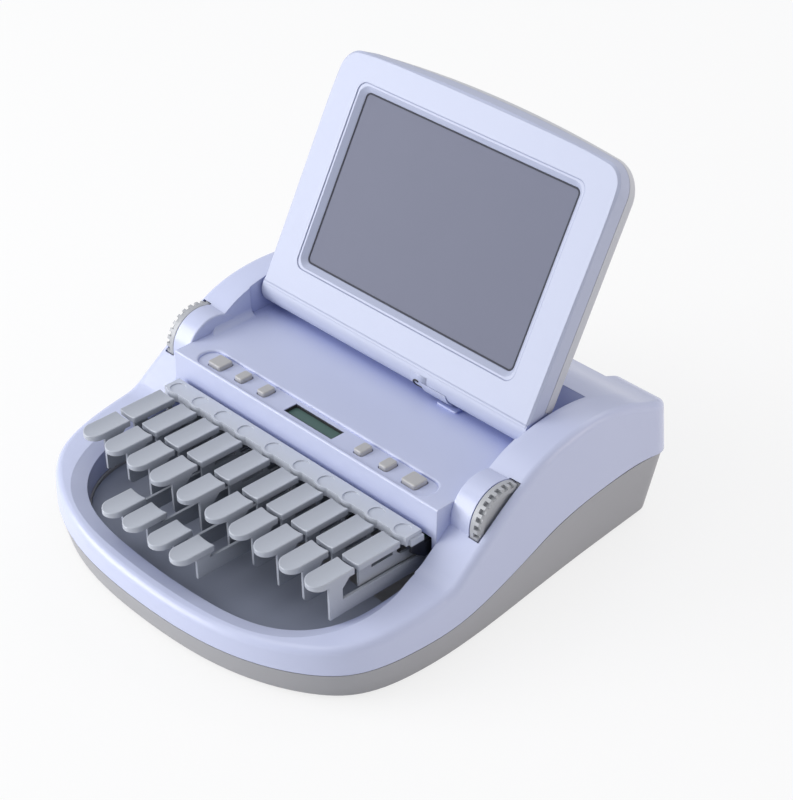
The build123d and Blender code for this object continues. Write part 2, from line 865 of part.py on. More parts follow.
for number, x in enumerate(column_x, start=1):
    plate_x = x + cap_width / 2 - blade
    with BuildPart() as upper_key:
        add(cap_plan(x, upper_front, upper_back, cap_top, False))
        outline = lever_outline(
            upper_front + 1.6, cap_top - cap_skirt, upper_arm, 1.0, upper_back, upper_arm_drop
        )
        add(blade_section(plate_x - blade_step, outline, 1.5))
        web = side_prism(
            [
                (upper_back - 3.0, upper_arm[1] - 1.0),
                (upper_back - 3.0, cap_top - cap_skirt + 0.6),
                (upper_back - 0.4, cap_top - cap_skirt + 0.6),
                (upper_back - 0.4, upper_arm[1] - 1.0),
            ],
            plate_x - blade_step,
            plate_x - blade_step + blade,
        )
        add(web)
    upper_key.part.label = f"upper_key_{number}"
    export_step(upper_key.part, f"parts/upper_key_{number}.step")

    with BuildPart() as lower_key:
        add(cap_plan(x, lower_tip, lower_back, cap_top, True))
        outline = lever_outline(
            lower_back - 2 * stem_width, cap_top - cap_skirt, lower_arm, 4.5, upper_back, 0.4
        )
        add(blade_section(plate_x, outline, 3.0))
    lower_key.part.label = f"lower_key_{number}"
    export_step(lower_key.part, f"parts/lower_key_{number}.step")

for number, (x, arm_x) in enumerate(zip(thumb_x, thumb_arm_x), start=1):
    with BuildPart() as thumb_key:
        add(cap_plan(x, thumb_tip, thumb_back, thumb_top, True))
        outline = lever_outline(
            thumb_tip + 10.5, thumb_top - cap_skirt, thumb_arm, 1.8, lower_back, 0.4
        )
        add(blade_section(arm_x - blade / 2, outline, 3.0))
    thumb_key.part.label = f"thumb_key_{number}"
    export_step(thumb_key.part, f"parts/thumb_key_{number}.step")

# Number bar: scalloped strip on two end arms
bar_bottom = bar_top - bar_height
bar_arm_x = (-bar_half_length, bar_half_length + 0.1)
with BuildPart() as number_bar:
    with BuildSketch(Plane.XY.offset(bar_bottom)) as plan:
        with Locations((0, (bar_front + 1.2 + bar_back) / 2)):
            Rectangle(2 * bar_half_length, bar_back - bar_front - 1.2)
        with Locations(*[(x, bar_front + bar_lobe_radius) for x in column_x]):
            Circle(bar_lobe_radius)
        with Locations((0, bar_back + 20.0)):
            Rectangle(400, 40, mode=Mode.SUBTRACT)
        for side in (-1, 1):
            with Locations((side * (bar_half_length + 50.0), 0)):
                Rectangle(100, 200, mode=Mode.SUBTRACT)
    extrude(plan.sketch, amount=bar_height)
    for x in column_x:
        add(post(x, bar_front + 5.2, 4.2, bar_top - 0.5, bar_top + 1), mode=Mode.SUBTRACT)
    for x in bar_arm_x:
        arm = [
            (bar_front + 3.0, bar_bottom - 4.0),
            (bar_front + 3.0, bar_bottom + 0.6),
            (bar_back, bar_bottom + 0.6),
            (bar_back, bar_bottom - 2.0),
            (shaft_y, shaft_z + 4.0),
            (shaft_y + 2.0, shaft_z + 3.0),
            (shaft_y + tail_length, shaft_z + 2.0),
            (shaft_y + tail_length, tail_bottom),
            (shaft_y + 5.0, tail_bottom),
            (shaft_y - 2.0, shaft_z - 4.0),
            (bar_back, bar_bottom - 10.0),
        ]
        add(blade_section(x, arm, 1.5))
    for x in (bar_half_length - 1.0,):
        add(block(x, x + blade + 1.1, bar_front + 3.0, bar_back, bar_bottom, bar_bottom + 3.0))

number_bar.part.label = "number_bar"
export_step(number_bar.part, "parts/number_bar.step")

# Push buttons: cap through the deck, flange beneath it, foot in the switch
for number, (x, size) in enumerate(button_places, start=1):
    with BuildPart() as button:
        with BuildSketch(Plane.XY.offset(hollow_top - fit_gap - 0.2)) as cap_face:
            with Locations((x, button_y)):
                RectangleRounded(size[0], size[1], 1.4)
        extrude(cap_face.sketch, amount=panel_floor + button_rise - hollow_top + fit_gap + 0.2)
        fillet(button.faces().sort_by(Axis.Z)[-1].edges(), radius=0.8)
        flange_low = hollow_top - fit_gap - 1.0
        add(
            block(
                x - size[0] / 2 - 1.2,
                x + size[0] / 2 + 1.2,
                button_y - size[1] / 2 - 1.2,
                button_y + size[1] / 2 + 1.2,
                flange_low,
                hollow_top - fit_gap,
            )
        )
        add(post(x, button_y, 1.5, switch_top - 1.2, flange_low + 0.2))
    button.part.label = f"button_{number}"
    export_step(button.part, f"parts/button_{number}.step")

# Thumbwheels: plain band, notches across the outer half of the rim, shallow dished face
for name, side in (("wheel_left", -1), ("wheel_right", 1)):
    inner, outer = sorted((side * wheel_inner_x, side * wheel_outer_x))
    band_end, notch_end = sorted((side * (wheel_outer_x - notch_length), side * (wheel_outer_x + 1.0)))
    dish_start, dish_end = sorted((side * (wheel_outer_x - 0.8), side * (wheel_outer_x + 1.0)))
    with BuildPart() as wheel:
        add(across(wheel_y, wheel_z, wheel_radius, inner, outer))
        chamfer(wheel.edges().filter_by(GeomType.CIRCLE), length=0.35)
        add(across(wheel_y, wheel_z, wheel_radius - 4.2, dish_start, dish_end), mode=Mode.SUBTRACT)
        with BuildSketch(Plane.YZ.offset(band_end)) as notches:
            with Locations((wheel_y, wheel_z)):
                with PolarLocations(wheel_radius - notch_depth / 2 + 0.5, wheel_notches):
                    Rectangle(notch_depth + 1.0, notch_width)
        extrude(notches.sketch, amount=notch_end - band_end, mode=Mode.SUBTRACT)
        add(
            across(wheel_y, wheel_z, wheel_axle_radius + running_play, inner - 1.0, outer + 1.0),
            mode=Mode.SUBTRACT,
        )
    wheel.part.label = name
    export_step(wheel.part, f"parts/{name}.step")

with BuildPart() as wheel_axles:
    for side in (-1, 1):
        ends = sorted((side * (wheel_inner_x - 6.0), side * (wheel_outer_x + wheel_side_play + 2.0)))
        add(across(wheel_y, wheel_z, wheel_axle_radius, *ends))

wheel_axles.part.label = "wheel_axles"
export_step(wheel_axles.part, "parts/wheel_axles.step")

# Pins that carry the screen between the rails
pin_inner = screen_half_width - pin_length + 1.5
pin_outer = deck_half_width + hinge_bay_step + pin_length - 1.0
with BuildPart() as hinge_pins:
    for side in (-1, 1):
        ends = sorted((side * pin_inner, side * pin_outer))
        add(across(hinge_y, hinge_z, pin_radius, *ends))

hinge_pins.part.label = "hinge_pins"
export_step(hinge_pins.part, "parts/hinge_pins.step")

# Low cover on the deck where the screen's cable comes up
cover_x = (29.0, 50.0)
cover_height = 2.2
with BuildPart() as cable_cover:
    add(block(cover_x[0], cover_x[1], 28.0, 44.0, deck_height, deck_height + cover_height))
    fillet(cable_cover.edges().filter_by(Axis.X).group_by(Axis.Y)[0].sort_by(Axis.Z)[-1], radius=1.2)

cable_cover.part.label = "cable_cover"
export_step(cable_cover.part, "parts/cable_cover.step")

# Screen: face frame with the hinge barrel, glass, panel and crowned back
tilt = math.radians(screen_angle)
face_y = hinge_y - barrel_radius * math.sin(tilt)
face_z = hinge_z + barrel_radius * math.cos(tilt)
screen_plane = Plane(
    origin=(0, face_y, face_z), x_dir=(1, 0, 0), z_dir=(0, -math.sin(tilt), math.cos(tilt))
)
split_depth = barrel_radius
crown_growth = 0.25
corner_growth = 0.4


def screen_outline(depth, inset):
    """Outline of the screen at a depth behind its face."""
    top = screen_height + crown_growth * depth - inset
    sag = screen_crown + 0.2 * depth
    half = screen_half_width - inset
    with BuildSketch(screen_plane.offset(-depth)) as outline:
        with BuildLine():
            ThreePointArc((-half, top - sag), (0, top), (half, top - sag))
            Polyline((half, top - sag), (half, 0), (-half, 0), (-half, top - sag))
        make_face()
        fillet(outline.vertices().group_by(Axis.Y)[-1], radius=screen_corner + corner_growth * depth)
    return outline


def screen_block(x0, x1, u0, u1, depth0, depth1):
    """Block in the screen's own directions, between two depths."""
    with BuildSketch(screen_plane.offset(-depth0), mode=Mode.PRIVATE) as plate:
        with Locations(((x0 + x1) / 2, (u0 + u1) / 2)):
            Rectangle(x1 - x0, u1 - u0)
    return extrude(plate.sketch, amount=-(depth1 - depth0), mode=Mode.PRIVATE)


def window(depth, grow, radius):
    """Rounded outline of the glass opening, grown all round."""
    with BuildSketch(screen_plane.offset(-depth)) as outline:
        with Locations((0, (glass_low + glass_high) / 2)):
            RectangleRounded(
                2 * (glass_half_width + grow), glass_high - glass_low + 2 * grow, radius
            )
    return outline


seam = 0.25
bezel_body = loft(
    [screen_outline(0.0, 0.0).sketch.face(), screen_outline(split_depth - seam, 0.0).sketch.face()],
    ruled=True,
)
back_body = loft(
    [screen_outline(split_depth, 0.0).sketch.face(), screen_outline(screen_depth, 1.0).sketch.face()],
    ruled=True,
)
window_slope = math.degrees(math.atan(glass_lip / glass_depth))
window_cut = extrude(
    window(glass_depth, 0.0, glass_corner - 1.5).sketch, amount=glass_depth + 0.5, taper=-window_slope
)
window_step = extrude(
    window(step_depth, glass_lip + step_width, glass_corner + step_width).sketch, amount=step_depth + 0.5
)
glass_edge = 3.0
glass_thickness = 1.2
with BuildPart() as screen_bezel:
    add(bezel_body)
    face_edges = [
        e
        for e in screen_bezel.edges()
        if abs(screen_plane.to_local_coords(e.center()).Z) < 0.1
        and screen_plane.to_local_coords(e.center()).Y > 5
    ]
    chamfer(face_edges, length=1.2)
    barrel_end = screen_half_width - 0.3
    add(across(hinge_y, hinge_z, barrel_radius - barrel_set_in, -barrel_end, barrel_end))
    add(window_step, mode=Mode.SUBTRACT)
    add(window_cut, mode=Mode.SUBTRACT)
    add(
        screen_block(
            -glass_half_width - glass_edge,
            glass_half_width + glass_edge,
            glass_low - glass_edge,
            glass_high + glass_edge,
            glass_depth,
            split_depth + 1,
        ),
        mode=Mode.SUBTRACT,
    )
    for side in (-1, 1):
        ends = sorted((side * (pin_inner - 1.0), side * (screen_half_width + 1)))
        add(across(hinge_y, hinge_z, pin_radius + running_play, *ends), mode=Mode.SUBTRACT)
    add(screen_block(18.0, 29.0, -9.0, -2.6, -1.0, 6.0), mode=Mode.SUBTRACT)

screen_bezel.part.label = "screen_bezel"
export_step(screen_bezel.part, "parts/screen_bezel.step")

with BuildPart() as screen_glass:
    add(
        screen_block(
            -glass_half_width - glass_edge + 0.2,
            glass_half_width + glass_edge - 0.2,
            glass_low - glass_edge + 0.2,
            glass_high + glass_edge - 0.2,
            glass_depth,
            glass_depth + glass_thickness,
        )
    )

screen_glass.part.label = "screen_glass"
export_step(screen_glass.part, "parts/screen_glass.step")

with BuildPart() as display_panel:
    add(
        screen_block(
            -glass_half_width - glass_edge + 0.3,
            glass_half_width + glass_edge - 0.3,
            glass_low - glass_edge + 0.3,
            glass_high + glass_edge - 0.3,
            glass_depth + glass_thickness + 0.2,
            split_depth - seam,
        )
    )

display_panel.part.label = "display_panel"
export_step(display_panel.part, "parts/display_panel.step")

with BuildPart() as screen_back:
    add(back_body)
    rear_edges = [
        e
        for e in screen_back.edges()
        if abs(screen_plane.to_local_coords(e.center()).Z + screen_depth) < 0.1
    ]
    fillet(rear_edges, radius=3.0)
    add(across(hinge_y, hinge_z, barrel_radius, -120, 120), mode=Mode.SUBTRACT)

screen_back.part.label = "screen_back"
export_step(screen_back.part, "parts/screen_back.step")
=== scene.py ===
"""Studio scene of a stenotype machine: a shorthand keyboard with a folding screen on a pale table.

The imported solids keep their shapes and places. Here each of them gets its finish, the screen and the
deck get their thin trim, and the machine is lit and seen from its front right corner.
"""
import json
import math

import bpy
from mathutils import Matrix, Vector


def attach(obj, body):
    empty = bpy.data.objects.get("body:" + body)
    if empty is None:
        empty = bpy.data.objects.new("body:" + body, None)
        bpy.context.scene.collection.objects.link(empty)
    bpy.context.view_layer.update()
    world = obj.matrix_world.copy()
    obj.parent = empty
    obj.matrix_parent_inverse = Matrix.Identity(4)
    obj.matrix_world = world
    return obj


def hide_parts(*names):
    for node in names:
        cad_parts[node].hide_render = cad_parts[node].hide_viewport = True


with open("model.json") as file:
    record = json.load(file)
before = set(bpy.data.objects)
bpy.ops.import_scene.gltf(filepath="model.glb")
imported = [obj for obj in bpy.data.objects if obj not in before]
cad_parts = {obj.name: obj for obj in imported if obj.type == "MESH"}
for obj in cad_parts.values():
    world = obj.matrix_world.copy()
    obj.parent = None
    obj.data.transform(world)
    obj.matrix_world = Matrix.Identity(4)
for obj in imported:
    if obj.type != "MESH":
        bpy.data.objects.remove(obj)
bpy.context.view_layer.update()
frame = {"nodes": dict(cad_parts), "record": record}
MM = 0.001


# Camera

# Azimuth 0 looks along +Y. The distance and the target are in metres.
VIEW_AZIMUTH = math.radians(48.214)
VIEW_ELEVATION = math.radians(33.344)
VIEW_ROLL = math.radians(-1.677)
VIEW_DISTANCE = 1.15978
VIEW_TARGET = Vector((0.0, 0.03725, 0.059))
SENSOR_MM = 36.0
FAR_CLIP = 20.0
# The picture's height, the lens's focus and the shift of the frame, all in the photograph's pixels.
PIXEL_HEIGHT = 800.0
PIXEL_FOCUS = 2283.96
PIXEL_SHIFT_X = 4.52
PIXEL_SHIFT_Y = -9.33


def place_camera():
    """A long lens looking down at the front right corner."""
    back = Vector((
        math.sin(VIEW_AZIMUTH) * math.cos(VIEW_ELEVATION),
        -math.cos(VIEW_AZIMUTH) * math.cos(VIEW_ELEVATION),
        math.sin(VIEW_ELEVATION),
    ))
    level = Vector((math.cos(VIEW_AZIMUTH), math.sin(VIEW_AZIMUTH), 0.0))
    upright = level.cross(-back)
    right = math.cos(VIEW_ROLL) * level + math.sin(VIEW_ROLL) * upright
    up = -math.sin(VIEW_ROLL) * level + math.cos(VIEW_ROLL) * upright
    data = bpy.data.cameras.new("studio_camera")
    data.sensor_fit = "VERTICAL"
    data.sensor_height = SENSOR_MM
    data.lens = PIXEL_FOCUS / PIXEL_HEIGHT * SENSOR_MM
    data.shift_x = PIXEL_SHIFT_X / PIXEL_HEIGHT
    data.shift_y = PIXEL_SHIFT_Y / PIXEL_HEIGHT
    data.clip_end = FAR_CLIP
    camera = bpy.data.objects.new("studio_camera", data)
    bpy.context.scene.collection.objects.link(camera)
    turn = Matrix((right, up, back)).transposed().to_4x4()
    camera.matrix_world = Matrix.Translation(VIEW_TARGET + back * VIEW_DISTANCE) @ turn
    bpy.context.scene.camera = camera


place_camera()
bpy.context.scene.view_settings.view_transform = "Standard"


# Colours and shader nodes

def linear(code):
    """An sRGB hex colour as linear RGBA."""
    parts = [int(code[i:i + 2], 16) / 255 for i in (1, 3, 5)]
    flat = [p / 12.92 if p <= 0.04045 else ((p + 0.055) / 1.055) ** 2.4 for p in parts]
    return (*flat, 1.0)


def add(tree, kind, links=None, **settings):
    """One shader node. Settings are its properties or socket values, links are sockets that feed it."""
    node = tree.nodes.new(kind)
    for name, value in settings.items():
        if hasattr(node, name):
            setattr(node, name, value)
        else:
            node.inputs[name.replace("_", " ")].default_value = value
    for name, source in (links or {}).items():
        tree.links.new(source, node.inputs[name])
    return node


def set_sockets(node, **values):
    """Constants go on the node's own sockets."""
    for name, value in values.items():
        node.inputs[name.replace("_", " ")].default_value = value


def new_material(name):
    """An empty material with its tree and its main shader."""
    material = bpy.data.materials.new(name)
    material.use_nodes = True
    return material, material.node_tree, material.node_tree.nodes["Principled BSDF"]


# Surfaces

PLASTIC_IOR = 1.52
METAL_IOR = 1.5
FLOW_MARK_MM = 22.0
NOISE_DETAIL = 3.0
# The painted corner shade is full where a point sees this share of the sky, and gone from the other.
SHADE_FULL_AT_SKY, SHADE_NONE_AT_SKY = 0.15, 0.68


def painted_corner_shade(tree, paint, corner_shade, corner_shade_mm):
    """Painted shade: where a point sees little open sky its colour is mixed towards a deeper tint, in
    place of the shade and the tinted bounce light of a corner.
    """
    open_sky = add(tree, "ShaderNodeAmbientOcclusion", samples=8, Distance=corner_shade_mm * MM)
    reach = add(
        tree, "ShaderNodeMapRange", {"Value": open_sky.outputs["AO"]},
        From_Min=SHADE_FULL_AT_SKY, From_Max=SHADE_NONE_AT_SKY,
    )
    painted_shade = add(
        tree, "ShaderNodeMix", {"Factor": reach.outputs["Result"], "B": paint},
        data_type="RGBA", A=linear(corner_shade),
    )
    return painted_shade.outputs["Result"]


def grained_surface(
    name, colour, shade, roughness, grain_mm, depth_mm, edge_mm=0.35, corner_shade=None, corner_shade_mm=None,
    specular=0.5, metallic=0.0, ior=PLASTIC_IOR,
):
    """An even colour that drifts a little towards shade, as flow marks do, with a fine grain and edges
    that are slightly rounded, so that they catch a thin light. The grain of a real tool is about 0.1 mm
    wide. It is drawn at grain_mm, coarser than that, because finer grain doesn't show in the render."""
    material, tree, shader = new_material(name)
    place = add(tree, "ShaderNodeTexCoord").outputs["Object"]
    flow = add(
        tree, "ShaderNodeTexNoise", {"Vector": place}, Scale=1 / (FLOW_MARK_MM * MM), Detail=NOISE_DETAIL
    )
    tint = add(
        tree, "ShaderNodeMix", {"Factor": flow.outputs["Fac"]},
        data_type="RGBA", A=linear(colour), B=linear(shade),
    )
    paint = tint.outputs["Result"]
    # Given a shade colour, corners get painted shade: the colour darkens where little sky is seen.
    if corner_shade:
        paint = painted_corner_shade(tree, paint, corner_shade, corner_shade_mm)
    tree.links.new(paint, shader.inputs["Base Color"])
    set_sockets(shader, Roughness=roughness, IOR=ior, Metallic=metallic, Specular_IOR_Level=specular)
    edge = add(tree, "ShaderNodeBevel", samples=4, Radius=edge_mm * MM)
    grain = add(
        tree, "ShaderNodeTexNoise", {"Vector": place}, Scale=1 / (grain_mm * MM), Detail=NOISE_DETAIL
    )
    bump = add(
        tree, "ShaderNodeBump", {"Height": grain.outputs["Fac"], "Normal": edge.outputs["Normal"]},
        Strength=1.0, Distance=depth_mm * MM,
    )
    tree.links.new(bump.outputs["Normal"], shader.inputs["Normal"])
    return material


def with_painted_shade_below(material, height_mm, colour):
    """Below a height of the machine the plastic gives way to a near black colour: painted shade on the
    arms, which lie in the dark behind the keys.
    """
    blend_mm = 0.3
    tree = material.node_tree
    shader = tree.nodes["Principled BSDF"]
    plastic = shader.inputs["Base Color"].links[0].from_socket
    place = add(tree, "ShaderNodeTexCoord").outputs["Object"]
    level = add(tree, "ShaderNodeSeparateXYZ", {"Vector": place})
    share = add(
        tree, "ShaderNodeMapRange", {"Value": level.outputs["Z"]},
        From_Min=(height_mm - blend_mm) * MM, From_Max=(height_mm + blend_mm) * MM,
    )
    mix = add(
        tree, "ShaderNodeMix", {"Factor": share.outputs["Result"], "B": plastic},
        data_type="RGBA", A=linear(colour),
    )
    tree.links.new(mix.outputs["Result"], shader.inputs["Base Color"])
    return material


def casing_finishes():
    """ABS mouldings of the housing and the screen, each from a tool of its own."""
    return {
        # A satin tool and a lavender tint: soft highlights, and painted shade, a deeper blue, in corners,
        # recesses and under the lip.
        "housing_upper": grained_surface(
            "abs_lavender_satin", "#C4CAE4", "#C2C8E3", roughness=0.27, grain_mm=0.8, depth_mm=0.003,
            edge_mm=0.5, corner_shade="#9AA5DA", corner_shade_mm=32.0,
        ),
        # The same plastic from a duller tool, so that the frame round the screen doesn't shine. Its colour
        # is a darker copy of the housing's, painted shade that holds down the light its face gets, and
        # painted shade deepens the window's inner wall.
        "screen_frame": grained_surface(
            "abs_lavender_satin_shaded_copy", "#B7BDD3", "#B5BBD2", roughness=0.42, grain_mm=0.8, depth_mm=0.003,
            edge_mm=0.5, corner_shade="#8892BE", corner_shade_mm=6.0,
        ),
        # Tinted silver, a little rougher: the back shell looks greyer than its frame.
        "screen_rear": grained_surface(
            "abs_silver_lavender_satin", "#C0C2C9", "#BEC0C7", roughness=0.35, grain_mm=0.8, depth_mm=0.004
        ),
        # An etched tool: plain grey that spreads the light and hides scratches.
        "housing_lower": grained_surface(
            "abs_mid_grey_textured", "#A1A1A5", "#9F9FA3", roughness=0.45, grain_mm=0.7, depth_mm=0.008
        ),
        # An etched tool again, in slate grey.
        "tray": grained_surface(
            "abs_slate_grey_textured", "#8C92A3", "#8A90A1", roughness=0.4, grain_mm=0.7, depth_mm=0.006
        ),
    }


def control_finishes():
    """Keys, buttons and wheels, the sockets and the feet, and the faces of both displays."""
    return {
        # Satin ABS that fingers keep smooth: a cool grey with clear soft highlights, and painted shade in
        # the corners between and under the keys.
        "key_plastic": grained_surface(
            "abs_cool_grey_satin", "#B1B6C0", "#AFB4BE", roughness=0.26, grain_mm=0.7, depth_mm=0.003,
            edge_mm=0.3, corner_shade="#80858F", corner_shade_mm=45.0,
        ),
        # Satin ABS in a warmer grey than the keys.
        "button_plastic": grained_surface(
            "abs_warm_grey_satin", "#B8B7B7", "#B3B2B2", roughness=0.32, grain_mm=0.7, depth_mm=0.004
        ),
        # Satin ABS whose notches need tight edges.
        "wheel_plastic": grained_surface(
            "abs_wheel_grey_satin", "#B0B2B6", "#A9ABAF", roughness=0.35, grain_mm=0.7, depth_mm=0.004,
            edge_mm=0.2,
        ),
        # Moulded nylon, black and half matt.
        "socket_black": grained_surface(
            "nylon_black_moulded", "#2A2B2E", "#242527", roughness=0.45, grain_mm=0.6, depth_mm=0.008
        ),
        # Moulded rubber, black and dull.
        "foot_rubber": grained_surface(
            "rubber_black_moulded", "#2E2E30", "#29292B", roughness=0.75, grain_mm=0.5, depth_mm=0.015
        ),
        # The face of a display that is off: even, smooth and blue grey.
        "display_panel": grained_surface(
            "display_face_unlit", "#74778C", "#717489", roughness=0.3, grain_mm=5.0, depth_mm=0.0
        ),
        # Etched cover glass over the dark display: one even blue grey, with hardly a reflection.
        "screen_glass": grained_surface(
            "display_cover_matt", "#707385", "#6E7183", roughness=0.5, grain_mm=0.3, depth_mm=0.0005,
            specular=0.2,
        ),
        # The clear cover with the reflective liquid crystal behind it: green grey.
        "lcd_window": grained_surface(
            "lcd_window_green_grey", "#526C67", "#506A65", roughness=0.4, grain_mm=5.0, depth_mm=0.0,
            specular=0.3,
        ),
    }


def inner_finishes():
    """What the casings hold, and what fastens them."""
    return {
        # Drawn bar, bright, with a faint grain.
        "steel": grained_surface(
            "steel_drawn_bright", "#A7A8AB", "#9C9DA1", roughness=0.3, grain_mm=0.4, depth_mm=0.003,
            metallic=1.0, ior=METAL_IOR,
        ),
        # Turned brass with fine tool marks.
        "brass_insert": grained_surface(
            "brass_turned", "#B59A5C", "#AA9054", roughness=0.3, grain_mm=0.3, depth_mm=0.003,
            metallic=1.0, ior=METAL_IOR,
        ),
        # Pressed wool felt, dark and without any shine.
        "felt": grained_surface(
            "wool_felt_pressed", "#3B3D42", "#313338", roughness=0.9, grain_mm=0.4, depth_mm=0.06
        ),
        # Glass fibre board under green lacquer.
        "circuit_board": grained_surface(
            "board_green_lacquered", "#2F5D45", "#2A563F", roughness=0.35, grain_mm=1.5, depth_mm=0.004
        ),
        # A shrunk sleeve, blue and glossy.
        "battery_wrap": grained_surface(
            "battery_sleeve_shrunk", "#3C4A66", "#374560", roughness=0.3, grain_mm=3.0, depth_mm=0.004
        ),
        # The moulded case of the small display.
        "lcd_module": grained_surface(
            "display_case_black", "#2C2D31", "#27282B", roughness=0.4, grain_mm=0.7, depth_mm=0.004
        ),
    }


FINISHES = {**casing_finishes(), **control_finishes(), **inner_finishes()}

# The number bar is satin ABS, and its plastic colour reaches down to this height; below it the arms are
# painted near black, painted shade of the dark behind the keys.
BAR_SHADE_LINE_MM = 49.3
BAR_FINISH = with_painted_shade_below(
    grained_surface(
        "abs_light_grey_satin_shade_below", "#C3C8D3", "#C1C6D1", roughness=0.3, grain_mm=0.7, depth_mm=0.003
    ),
    BAR_SHADE_LINE_MM, "#22242A",
)
# The grooves of the screen's frame are the same plastic, painted darker because little light gets in:
# painted shade.
GROOVE_SHADE = grained_surface(
    "abs_lavender_groove_shade", "#989FBE", "#959CBC", roughness=0.5, grain_mm=0.8, depth_mm=0.003
)
CREASE_SHADE = grained_surface(
    "abs_lavender_crease_shade", "#A9B0CB", "#A6ADC9", roughness=0.5, grain_mm=0.8, depth_mm=0.003
)
# A blue black matt strip: painted shadow in the gap at the glass's edge.
GLASS_EDGE_SHADOW = grained_surface(
    "glass_edge_shadow_blue_black", "#1C2034", "#1A1E31", roughness=0.6, grain_mm=0.5, depth_mm=0.003
)


def finish_solids():
    """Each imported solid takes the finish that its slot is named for."""
    for solid in frame["nodes"].values():
        for place in solid.material_slots:
            name = place.material.name if place.material else ""
            if name in FINISHES:
                place.material = FINISHES[name]
    frame["nodes"]["number_bar"].material_slots[0].material = BAR_FINISH


finish_solids()


# Making pieces. Sizes and places are in millimetres.

EDGE_ANGLE = math.radians(50)


def piece(name, points, faces, material, body, soften=0.0, smooth=False):
    """A mesh that rides on a body, its edges rounded where asked."""
    mesh = bpy.data.meshes.new(name)
    mesh.from_pydata([tuple(p) for p in points], [], faces)
    mesh.validate()
    mesh.materials.append(material)
    made = bpy.data.objects.new(name, mesh)
    bpy.context.scene.collection.objects.link(made)
    for face in mesh.polygons:
        face.use_smooth = smooth
    if soften:
        rounding = made.modifiers.new("rounded_edges", "BEVEL")
        rounding.width = soften * MM
        rounding.segments = 3
        rounding.limit_method = "ANGLE"
        rounding.angle_limit = EDGE_ANGLE
    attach(made, body)
    return made


def plain_loop(half, low, high):
    """Rectangle as points, anticlockwise."""
    return [(-half, low), (half, low), (half, high), (-half, high)]


def rounded_loop(half, low, high, radius, steps):
    """Rounded rectangle as points, anticlockwise."""
    corners = [
        (half - radius, high - radius, 0),
        (radius - half, high - radius, 90),
        (radius - half, low + radius, 180),
        (half - radius, low + radius, 270),
    ]
    loop = []
    for x, y, start in corners:
        for i in range(steps + 1):
            turn = math.radians(start + 90 * i / steps)
            loop.append((x + radius * math.cos(turn), y + radius * math.sin(turn)))
    return loop


def frame_strip(name, outer, inner, place, near, far, material, body):
    """A closed strip between two loops, from one level to another."""
    count = len(outer)
    points = []
    for level in (near, far):
        for loop in (outer, inner):
            points += [place(x, y, level) for x, y in loop]
    faces = []
    for i in range(count):
        j = (i + 1) % count
        faces.append((i, j, count + j, count + i))
        faces.append((2 * count + j, 2 * count + i, 3 * count + i, 3 * count + j))
        faces.append((2 * count + i, 2 * count + j, j, i))
        faces.append((count + i, count + j, 3 * count + j, 3 * count + i))
    return piece(name, points, faces, material, body)


def sleeve_faces(rows, sides):
    """Faces of a closed sleeve: rows of points, each with so many sides, and a cap at both ends."""
    faces = []
    for i in range(rows - 1):
        for k in range(sides):
            m = (k + 1) % sides
            faces.append((i * sides + k, i * sides + m, (i + 1) * sides + m, (i + 1) * sides + k))
    faces.append(tuple(reversed(range(sides))))
    faces.append(tuple(range((rows - 1) * sides, rows * sides)))
    return faces


def bent_wire(name, path, radius, material, body, sides=10):
    """A round wire along a path, closed at both ends. Its sides are laid out from a direction, aside,
    that the path never follows."""
    aside = Vector((0.0, -0.8, -0.6))
    last = len(path) - 1
    points = []
    for i, spot in enumerate(path):
        ahead = (path[min(i + 1, last)] - path[max(i - 1, 0)]).normalized()
        across = ahead.cross(aside).normalized()
        up = across.cross(ahead)
        for k in range(sides):
            turn = 2 * math.pi * k / sides
            points.append(spot + radius * MM * (math.cos(turn) * across + math.sin(turn) * up))
    return piece(name, points, sleeve_faces(len(path), sides), material, body, smooth=True)


def on_machine(x, y, z):
    """A point of the machine."""
    return Vector((x, y, z)) * MM


# The screen's trim

JOINTS = {joint["name"]: joint for joint in frame["record"]["behaviour"]["joints"]}
HINGE_Y, HINGE_Z = (place / MM for place in JOINTS["screen_tilt"]["pos_m"][1:])
BARREL_RADIUS = 9.4
SCREEN_TILT = math.radians(60.47)
LEAN_Y, LEAN_Z = -math.sin(SCREEN_TILT), math.cos(SCREEN_TILT)
GLASS_HALF, GLASS_LOW, GLASS_HIGH = 75.04, 20.2, 114.1


def on_screen(x, along, depth):
    """A point given across the screen, up along it from the hinge, and into it from its face."""
    y = HINGE_Y + BARREL_RADIUS * LEAN_Y + along * LEAN_Z - depth * LEAN_Y
    z = HINGE_Z + BARREL_RADIUS * LEAN_Z - along * LEAN_Y - depth * LEAN_Z
    return on_machine(x, y, z)


def loop_round_glass(offset, radius, steps):
    """The outline of the glass, wider by an offset."""
    return rounded_loop(GLASS_HALF + offset, GLASS_LOW - offset, GLASS_HIGH + offset, radius, steps)


def lay_glass_edge_shadow():
    """A blue black line between the glass and its frame, just proud of the glass: painted shadow of the
    gap at the glass's edge.
    """
    outer = loop_round_glass(offset=0.05, radius=3.0, steps=6)
    inner = loop_round_glass(offset=-0.75, radius=2.3, steps=6)
    top, bottom = 2.95, 3.18
    frame_strip("glass_edge_shadow", outer, inner, on_screen, top, bottom, GLASS_EDGE_SHADOW, "screen")


def paint_window_groove_shade():
    """Painted shade in the fine groove where the frame starts to fall towards the glass: a darker strip
    just under the face.
    """
    outer = loop_round_glass(offset=4.5, radius=5.5, steps=8)
    inner = loop_round_glass(offset=4.1, radius=5.1, steps=8)
    top, bottom = 0.3, 0.39
    frame_strip("window_groove_shade", outer, inner, on_screen, top, bottom, GROOVE_SHADE, "screen")


